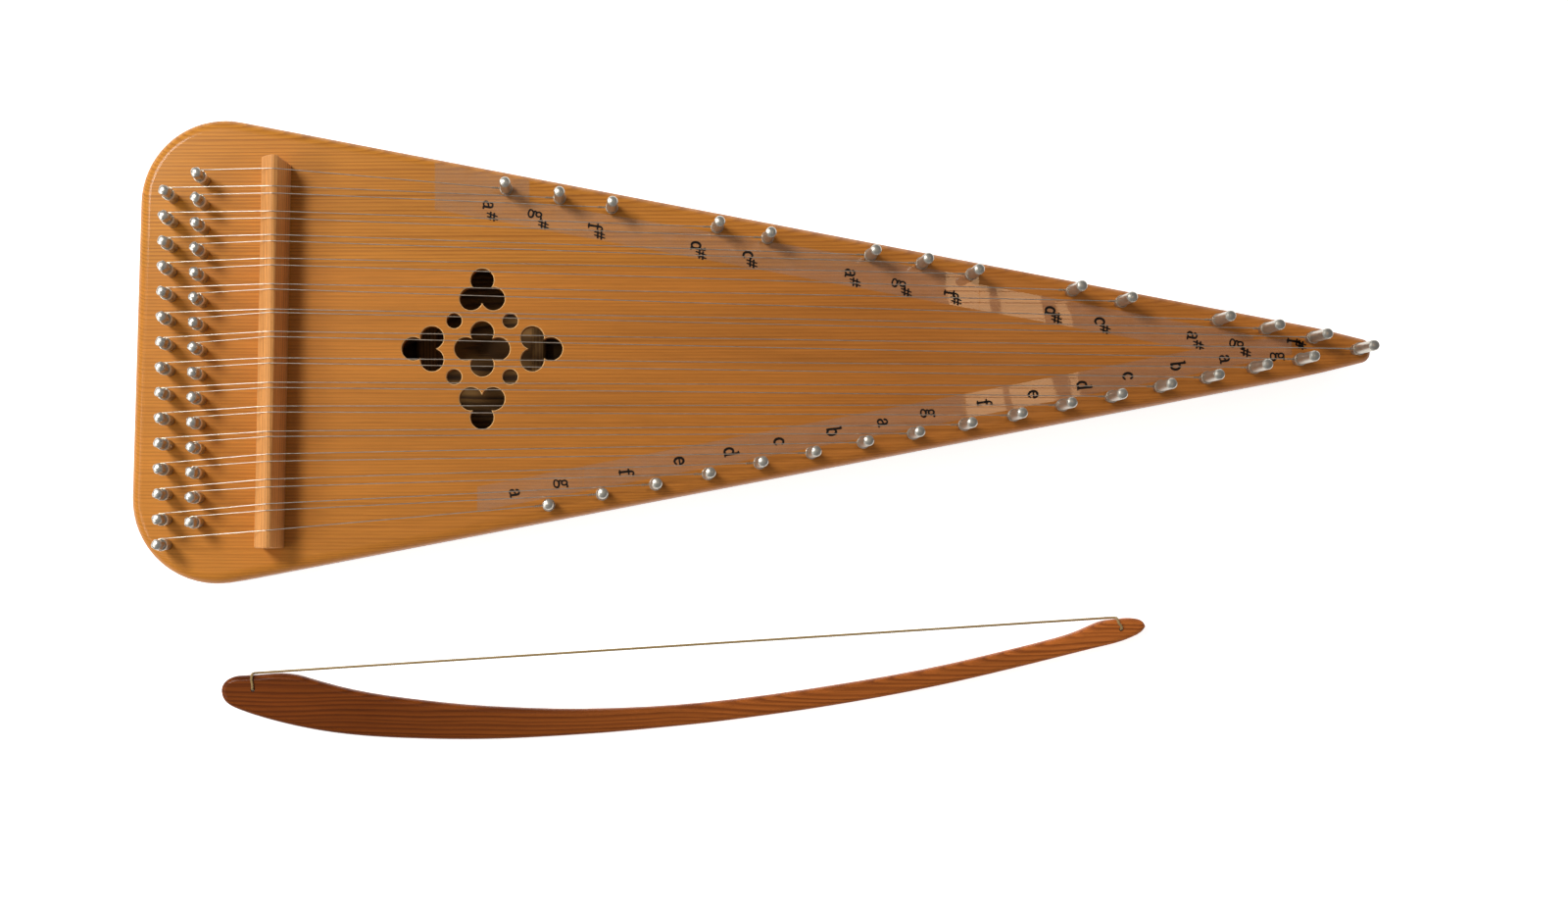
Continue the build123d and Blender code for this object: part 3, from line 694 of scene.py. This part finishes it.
# Strokes of each letter as (x, y, half width), in units of the x-height, baseline at y = 0.
THICK, THIN = 0.120, 0.084
SHARP_UP, SHARP_ACROSS = 0.075, 0.100
DOT = 0.10                       # half width of the blobs that end some strokes
GLYPHS = {
    "a": [curved((0.16, 0.76, THICK), (0.22, 0.93, THIN), (0.42, 1.0, THIN),
                 (0.60, 0.92, THICK * .9), (0.66, 0.70, THICK), (0.66, 0.22, THICK),
                 (0.70, 0.05, THICK * .8), (0.88, 0.06, THIN)),
          curved((0.66, 0.60, THIN), (0.42, 0.54, THIN), (0.18, 0.42, THICK * .9),
                 (0.11, 0.22, THICK), (0.20, 0.04, THICK * .8), (0.38, 0.0, THIN),
                 (0.56, 0.09, THIN), (0.66, 0.22, THIN)),
          [(0.17, 0.74, DOT), (0.18, 0.76, DOT)]],
    "b": [[(0.17, 0.05, THICK), (0.17, 1.50, THICK)],
          [(0.0, 1.49, THIN), (0.17, 1.50, THIN)],
          arc(0.47, 0.49, 0.32, 0.47, -165, 165, THIN, THICK * 1.1, steps=26)],
    "c": [arc(0.46, 0.49, 0.36, 0.48, 48, 318, THIN, THICK * 1.15, steps=26),
          [(0.71, 0.80, DOT), (0.70, 0.78, DOT)]],
    "d": [[(0.74, 0.04, THICK), (0.74, 1.50, THICK)],
          [(0.57, 1.49, THIN), (0.74, 1.50, THIN)],
          [(0.74, 0.02, THIN), (0.92, 0.02, THIN)],
          arc(0.43, 0.49, 0.33, 0.47, 16, 344, THIN, THICK * 1.1, steps=26)],
    "e": [arc(0.45, 0.49, 0.36, 0.48, 5, 322, THIN, THICK * 1.15, steps=28),
          [(0.11, 0.54, THIN), (0.80, 0.54, THIN)]],
    "f": [curved((0.30, 0.0, THICK), (0.30, 1.12, THICK), (0.36, 1.38, THICK * .8),
                 (0.52, 1.50, THIN), (0.66, 1.46, THIN)),
          [(0.66, 1.40, DOT), (0.67, 1.41, DOT)],
          [(0.06, 0.97, THIN * 1.1), (0.58, 0.97, THIN * 1.1)],
          [(0.10, 0.02, THIN), (0.54, 0.02, THIN)]],
    "g": [arc(0.41, 0.69, 0.25, 0.29, 0, 360, THICK * .75, THICK * .75, steps=24),
          curved((0.58, 0.88, THIN), (0.70, 0.99, THIN), (0.86, 0.98, THICK * .9)),
          curved((0.28, 0.44, THIN), (0.15, 0.34, THIN), (0.14, 0.20, THICK * .7),
                 (0.34, 0.12, THICK * .9), (0.62, 0.10, THICK * .9), (0.82, -0.04, THICK * .9),
                 (0.80, -0.26, THICK * .7), (0.60, -0.40, THIN), (0.34, -0.42, THIN),
                 (0.10, -0.34, THICK * .7), (0.04, -0.18, THICK * .7), (0.14, -0.02, THIN),
                 (0.30, 0.10, THIN))],
    "#": [[(0.20, -0.14, SHARP_UP), (0.20, 0.98, SHARP_UP)],
          [(0.54, 0.00, SHARP_UP), (0.54, 1.12, SHARP_UP)],
          [(0.0, 0.18, SHARP_ACROSS), (0.74, 0.40, SHARP_ACROSS)],
          [(0.0, 0.58, SHARP_ACROSS), (0.74, 0.80, SHARP_ACROSS)]],
}
CELL, MARGIN = 0.02, 0.2         # grid step of the distance field and room around the strokes
MIN_GAP = 0.022                  # outline points closer than this are thinned out

# Marching squares. Corners of a cell from its low corner, counter-clockwise, weigh 1, 2, 4, 8.
# Sides are 0 bottom, 1 right, 2 top, 3 left; each case lists the (from, to) sides of its cuts.
SIDE_ENDS = [((0, 0), (1, 0)), ((1, 0), (1, 1)), ((0, 1), (1, 1)), ((0, 0), (0, 1))]
CUTS = {1: [(3, 0)], 2: [(0, 1)], 3: [(3, 1)], 4: [(1, 2)], 5: [(3, 2), (1, 0)], 6: [(0, 2)],
        7: [(3, 2)], 8: [(2, 3)], 9: [(2, 0)], 10: [(0, 3), (2, 1)], 11: [(2, 1)],
        12: [(1, 3)], 13: [(1, 0)], 14: [(0, 3)]}


def grid_line(values):
    """Evenly spaced grid positions that cover the values and a margin."""
    low, high = min(values) - MARGIN, max(values) + MARGIN
    return low + np.arange(int((high - low) / CELL) + 2) * CELL


def stroke_field(strokes, grid_x, grid_y):
    """Signed distance to the union of the strokes, negative inside."""
    X, Y = np.meshgrid(grid_x, grid_y, indexing="ij")
    field = np.full(X.shape, 9.0)
    for stroke in strokes:
        for (ax, ay, a_width), (bx, by, b_width) in zip(stroke, stroke[1:]):
            dx, dy = bx - ax, by - ay
            square = dx * dx + dy * dy or 1e-9
            t = np.clip(((X - ax) * dx + (Y - ay) * dy) / square, 0, 1)
            width = a_width + (b_width - a_width) * t
            field = np.minimum(field, np.hypot(X - ax - t * dx, Y - ay - t * dy) - width)
    field[np.abs(field) < 1e-9] = 1e-9
    return field


def glyph_loops(strokes):
    """Outline loops of a union of strokes, by marching squares on its distance field."""
    points = [p for stroke in strokes for p in stroke]
    grid_x = grid_line([p[0] for p in points])
    grid_y = grid_line([p[1] for p in points])
    field = stroke_field(strokes, grid_x, grid_y)
    place, following = {}, {}

    def cut(i, j, side):
        """Key of the crossing on one side of a cell; its position goes to place."""
        a, b = [(i + di, j + dj) for di, dj in SIDE_ENDS[side]]
        t = field[a] / (field[a] - field[b])
        place[a, b] = (grid_x[a[0]] + (grid_x[b[0]] - grid_x[a[0]]) * t,
                       grid_y[a[1]] + (grid_y[b[1]] - grid_y[a[1]]) * t)
        return a, b

    inside = field < 0
    case = (inside[:-1, :-1] * 1 + inside[1:, :-1] * 2
            + inside[1:, 1:] * 4 + inside[:-1, 1:] * 8)
    for i, j in zip(*np.nonzero((case > 0) & (case < 15))):
        for side_from, side_to in CUTS[int(case[i, j])]:
            start = cut(i, j, side_from)
            following[start] = cut(i, j, side_to)

    loops = []
    while following:
        start = next(iter(following))
        loop = [start]
        current = following.pop(start)
        while current != start and current in following:
            loop.append(current)
            current = following.pop(current)
        if len(loop) > 5:
            kept = []
            for key in loop:
                if not kept or math.dist(kept[-1], place[key]) > MIN_GAP:
                    kept.append(place[key])
            loops.append(kept)
    return loops


def glyph_mesh(letter):
    """Filled flat letter: its vertices in letter units, upward faces and rim edges."""
    curve = bpy.data.curves.new("glyph_" + str(ord(letter)), "CURVE")
    curve.dimensions = "2D"
    curve.fill_mode = "BOTH"
    for loop in glyph_loops(GLYPHS[letter]):
        spline = curve.splines.new("POLY")
        spline.points.add(len(loop) - 1)
        for point, (x, y) in zip(spline.points, loop):
            point.co = (x, y, 0, 1)
        spline.use_cyclic_u = True
    obj = bpy.data.objects.new("glyph_tmp", curve)
    bpy.context.scene.collection.objects.link(obj)
    graph = bpy.context.evaluated_depsgraph_get()
    mesh = bpy.data.meshes.new_from_object(obj.evaluated_get(graph))
    bm = bmesh.new()
    bm.from_mesh(mesh)
    bmesh.ops.remove_doubles(bm, verts=bm.verts, dist=1e-5)
    bm.verts.ensure_lookup_table()
    verts = [v.co.copy() for v in bm.verts]
    faces = []
    for face in bm.faces:
        ring = tuple(v.index for v in face.verts)
        a, b, c = [verts[k] for k in ring[:3]]
        faces.append(ring if (b - a).cross(c - a).z > 0 else ring[::-1])
    bm.free()
    bpy.data.objects.remove(obj)
    bpy.data.meshes.remove(mesh)
    edges = dict.fromkeys((face[k], face[(k + 1) % len(face)])
                          for face in faces for k in range(len(face)))
    return verts, faces, [(a, b) for a, b in edges if (b, a) not in edges]


# ----------------------------------------------------------------------------
# clear note tape: the outline of the CAD strips, its underside held just off the varnish
# ----------------------------------------------------------------------------
TAPE_LIFT = 0.02 * MM
for node in ("note_tape_chromatic", "note_tape_diatonic"):
    verts, index = welded(NODES[node].data)
    verts[verts[:, 2] < ZTOP + 0.06 * MM, 2] += TAPE_LIFT
    rings = [[int(index[k]) for k in face.vertices] for face in NODES[node].data.polygons]
    faces = [ring for ring in rings if len(set(ring)) == len(ring)]
    sheet = mesh_object(node.replace("note_tape", "clear_tape"), verts, faces, FILM,
                        smooth=False)
    attach(sheet, "root")
    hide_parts(node)

LETTERS = {letter: glyph_mesh(letter) for letter in GLYPHS}
X_HEIGHT = 4.4 * MM
SHARP_SIZE = X_HEIGHT * 0.98
INK_BOTTOM, INK_TOP = TAPE_TOP + 0.004 * MM, TAPE_TOP + 0.03 * MM
CHROMATIC_TURN, SHARP_TURN, DIATONIC_TURN = -9, -10, 7      # degrees
TURN_SPREAD = 2
rng = random.Random(7)

# sharps: letter, x and y of the letter, x and y of its raised sharp sign (mm)
CHROMATIC = [
    ("a", 98.67, 68.218, 100.74, 62.928), ("g", 121.762, 63.756, 124.844, 59.018),
    ("f", 148.304, 58.236, 151.294, 54.234), ("d", 196.696, 49.036, 199.134, 44.712),
    ("c", 221.214, 44.85, 223.054, 40.802), ("a", 269.192, 36.064, 271.676, 31.74),
    ("g", 293.112, 30.958, 295.78, 27.186), ("f", 315.928, 26.542, 319.24, 23.23),
    ("d", 363.4, 18.308, 366.39, 14.398), ("c", 386.768, 13.524, 389.344, 9.66),
    ("a", 430.1, 6.532, 433.182, 2.254), ("g", 451.904, 2.576, 455.262, -1.242),
    ("f", 477.25, 3.818, 481.344, 2.254),
]
# naturals: letter, x, y (mm)
DIATONIC = [
    ("a", 111.32, -67.482), ("g", 133.86, -62.882), ("f", 162.84, -57.822),
    ("e", 188.6, -52.302), ("d", 212.06, -48.162), ("c", 235.52, -43.102),
    ("b", 260.36, -38.502), ("a", 284.28, -34.362), ("g", 306.36, -29.762),
    ("f", 331.2, -25.162), ("e", 355.12, -21.022), ("d", 378.12, -16.882),
    ("c", 399.74, -12.282), ("b", 422.28, -7.682), ("a", 445.28, -4.462),
    ("g", 471.04, -3.082),
]


def put_letter(letter, x, y, size, turn):
    """Raised letter centred at (x, y) mm; its top points to +X, turned by turn degrees."""
    verts, faces, rim = LETTERS[letter]
    widths = [v.x for v in verts]
    centre_x, centre_y = (min(widths) + max(widths)) / 2, 0.5
    cos, sin = math.cos(math.radians(turn)), math.sin(math.radians(turn))
    out = []
    for z in (INK_TOP, INK_BOTTOM):
        for v in verts:
            right, up = (v.x - centre_x) * size, (v.y - centre_y) * size
            out.append((x * MM + cos * up + sin * right, y * MM + sin * up - cos * right, z))
    n = len(verts)
    solid = list(faces) + [tuple(reversed([i + n for i in face])) for face in faces]
    solid += [(b, a, a + n, b + n) for a, b in rim]
    return out, solid


def letter_row(name, parts):
    attach(mesh_object(name, *merge(parts), INK, smooth=False), "root")


parts = []
for letter, x, y, sharp_x, sharp_y in CHROMATIC:
    turn = CHROMATIC_TURN + rng.uniform(-TURN_SPREAD, TURN_SPREAD)
    parts.append(put_letter(letter, x, y, X_HEIGHT, turn))
    parts.append(put_letter("#", sharp_x, sharp_y, SHARP_SIZE, turn + SHARP_TURN))
letter_row("note_letters_chromatic", parts)
letter_row("note_letters_diatonic",
           [put_letter(letter, x, y, X_HEIGHT,
                       DIATONIC_TURN + rng.uniform(-TURN_SPREAD, TURN_SPREAD))
            for letter, x, y in DIATONIC])

# ----------------------------------------------------------------------------
# bow hair: a three-strand twisted cord that wraps over the stick into its holes
# ----------------------------------------------------------------------------
STRANDS, STRAND_R, LAY_R, LAY_PITCH = 3, 0.34 * MM, 0.32 * MM, 3.1 * MM
LEFT_HOLE = Vector((-17.6, -162.6, 0)) * MM            # hole at the -X end of the stick
RIGHT_HOLE = Vector((406.4, -133.2, 0)) * MM           # hole at the +X end
LEFT_EDGE = (-18.0 * MM, -154.85 * MM)                 # where the cord turns over the stick
RIGHT_EDGE = (404.5 * MM, -127.6 * MM)
CORD_SPAN = 422.5                                      # X distance between the edges, in mm
SLOPE = (RIGHT_EDGE[1] - LEFT_EDGE[1]) / (RIGHT_EDGE[0] - LEFT_EDGE[0])
OVER = BOW_TOP + 0.62 * MM                             # cord height over the stick
MIDDLE = BOW_TOP / 2                                   # cord height along its free run
RUN = (14, 24, 42, 74, 130, 200, 275, 335, 366, 384, 394)   # free run: mm from the left edge


def beside(place, dx, dy, z):
    """Point dx, dy mm from a place."""
    return (place[0] + dx * MM, place[1] + dy * MM, z)


def run_point(distance, z=MIDDLE):
    """Point of the straight run, distance mm along X from the left edge."""
    return (LEFT_EDGE[0] + distance * MM, LEFT_EDGE[1] + distance * MM * SLOPE, z)


def smooth_path(points, step):
    """Catmull-Rom through the points, resampled to nearly even steps."""
    points = [Vector(p) for p in points]
    padded = [points[0] * 2 - points[1]] + points + [points[-1] * 2 - points[-2]]
    dense = []
    for i in range(1, len(padded) - 2):
        n = max(4, int((padded[i + 1] - padded[i]).length / (0.25 * MM)))
        for k in range(n):
            q0, q1, q2, q3 = padded[i - 1:i + 3]
            t = k / n
            dense.append(0.5 * (2 * q1 + (q2 - q0) * t
                                + (2 * q0 - 5 * q1 + 4 * q2 - q3) * t * t
                                + (3 * q1 - q0 - 3 * q2 + q3) * t ** 3))
    dense.append(points[-1])
    out, travelled = [dense[0]], 0.0
    for a, b in zip(dense, dense[1:]):
        travelled += (b - a).length
        if travelled >= step:
            out.append(b)
            travelled = 0.0
    out.append(dense[-1])
    return out


def rope(path):
    """Strands wound around a path."""
    lengths = [0.0]
    for a, b in zip(path, path[1:]):
        lengths.append(lengths[-1] + (b - a).length)
    along = frames(path, spare=(1, 0, 0))
    parts = []
    for k in range(STRANDS):
        strand = []
        for point, (_, normal, side), length in zip(path, along, lengths):
            angle = 2 * math.pi * (length / LAY_PITCH + k / STRANDS)
            strand.append(point + (normal * math.cos(angle) + side * math.sin(angle)) * LAY_R)
        parts.append(tube(strand, STRAND_R, sides=7))
    return merge(parts)


left_end = [
    beside(LEFT_HOLE, 0, 0, BOW_TOP - 4.5 * MM),
    beside(LEFT_HOLE, 0, 0, BOW_TOP - 1.0 * MM),
    beside(LEFT_HOLE, 0.02, 0.5, OVER - 0.1 * MM),
    beside(LEFT_HOLE, -0.1, 2.2, OVER),
    beside(LEFT_EDGE, -0.1, -2.6, OVER),
    beside(LEFT_EDGE, 0, -0.75, BOW_TOP + 0.1 * MM),
    beside(LEFT_EDGE, 0.15, 0, BOW_TOP - 2.2 * MM),
    run_point(2.2, MIDDLE + 0.15 * MM),
    run_point(8),
]
right_end = [
    run_point(CORD_SPAN - 8),
    run_point(CORD_SPAN - 2.2, MIDDLE + 0.15 * MM),
    beside(RIGHT_EDGE, -0.15, 0, BOW_TOP - 2.2 * MM),
    beside(RIGHT_EDGE, 0.1, -0.75, BOW_TOP + 0.1 * MM),
    beside(RIGHT_EDGE, 0.6, -2.6, OVER),
    beside(RIGHT_HOLE, -0.3, 1.8, OVER),
    beside(RIGHT_HOLE, 0, 0.45, OVER - 0.1 * MM),
    beside(RIGHT_HOLE, 0, 0, BOW_TOP - 1.0 * MM),
    beside(RIGHT_HOLE, 0, 0, BOW_TOP - 4.5 * MM),
]
path = smooth_path(left_end + [run_point(d) for d in RUN] + right_end, step=0.42 * MM)
cord = mesh_object("bow_cord", *rope(path), CORD)
attach(cord, "bow")
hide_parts("bow_hair")


# ----------------------------------------------------------------------------
# floor and world
# ----------------------------------------------------------------------------
def floor_white():
    """Softly glowing white; clear from below, so that the underside of the body shows."""
    m = new_material("floor_white")
    cloud = m.noise(m.coords(), seed=1.0, scale=0.01, detail=2.0, rough=0.5)
    color = m.ramp(cloud, (0.3, (0.90, 0.90, 0.90)), (0.7, (0.93, 0.93, 0.93)))
    white = m.principled(Base_Color=color, Roughness=0.85, Specular_IOR_Level=0.1,
                         Emission_Color=(1.0, 1.0, 1.0), Emission_Strength=0.78)
    backfacing = m.new("ShaderNodeNewGeometry").outputs["Backfacing"]
    return m.finish(m.mix_shaders(backfacing, white, m.shader("BsdfTransparent")))


bm = bmesh.new()
bmesh.ops.create_grid(bm, x_segments=2, y_segments=2, size=3.0)
mesh = bpy.data.meshes.new("floor")
bm.to_mesh(mesh)
bm.free()
floor = bpy.data.objects.new("floor", mesh)
floor.location = (0.2, 0, -0.0004)
bpy.context.scene.collection.objects.link(floor)
mesh.materials.append(floor_white())

# grey surroundings, brighter towards -X
world = Nodes(bpy.data.worlds.new("studio"), output="ShaderNodeOutputWorld")
x = world.split(world.new("ShaderNodeTexCoord").outputs["Generated"])[0]
grey = world.ramp(world.remap(x, span=(-1.0, 1.0), to=(0.0, 1.0)),
                  (0.0, (0.62, 0.62, 0.62)), (1.0, (0.30, 0.30, 0.31)))
bpy.context.scene.world = world.finish(world.shader("Background", Color=grey, Strength=0.48))


# ----------------------------------------------------------------------------
# lights and camera
# ----------------------------------------------------------------------------
def area_light(name, location, rotation, power, size, size_y=None, color=(1, 1, 1)):
    light = bpy.data.lights.new(name, "AREA")
    light.energy = power
    light.color = color
    light.size = size
    if size_y:
        light.shape = "RECTANGLE"
        light.size_y = size_y
    obj = bpy.data.objects.new(name, light)
    obj.location = location
    obj.rotation_mode = "QUATERNION"
    obj.rotation_quaternion = rotation
    bpy.context.scene.collection.objects.link(obj)


def aimed(location, target):
    return (Vector(target) - Vector(location)).to_track_quat("-Z", "Y")


KEY_PLACE = (-0.62, 0.52, 1.34)
FILL_PLACE = (-0.80, -0.22, 0.86)
area_light("key", KEY_PLACE, aimed(KEY_PLACE, target=(0.14, 0.0, 0.0)),
           power=15.6, size=0.40, color=(1.0, 0.985, 0.955))
area_light("left_fill", FILL_PLACE, aimed(FILL_PLACE, target=(-0.02, 0.0, 0.055)),
           power=3.5, size=0.70, size_y=0.26)

# narrow warm windows, level above the body, that give reflections in the tape: x, width, power
WINDOWS = [(0.589, 0.047, 0.10), (0.645, 0.047, 0.10), (0.693, 0.012, 0.022)]
HALF_TURN = math.radians(4)      # half of the windows' turn about Z
for number, (x, width, power) in enumerate(WINDOWS, 1):
    area_light(f"window_{number}", (x, 0.125, ZTOP + 1.10),
               (math.cos(HALF_TURN), 0, 0, math.sin(HALF_TURN)),
               power=power, size=width, size_y=0.24, color=(1.0, 0.62, 0.30))

TILT = math.radians(1.4)         # a tilt makes part of the offset, to keep other views in frame
SHIFT_UNTILTED = 0.05375         # vertical shift that a level camera would need
camera = bpy.data.cameras.new("camera")
camera_object = bpy.data.objects.new("camera", camera)
bpy.context.scene.collection.objects.link(camera_object)
camera.sensor_width = 36.0
camera.lens = 38.6325
camera.shift_x = 0.13125
camera.shift_y = SHIFT_UNTILTED - math.tan(TILT) * camera.lens / camera.sensor_width
camera.clip_start, camera.clip_end = 0.05, 20.0
camera_object.location = (141.22 * MM, -86.802 * MM, ZTOP + 790.0 * MM)
camera_object.rotation_euler = (TILT, 0, 0)
bpy.context.scene.camera = camera_object
bpy.context.scene.view_settings.view_transform = "Standard"
bpy.context.scene.view_settings.look = "None"
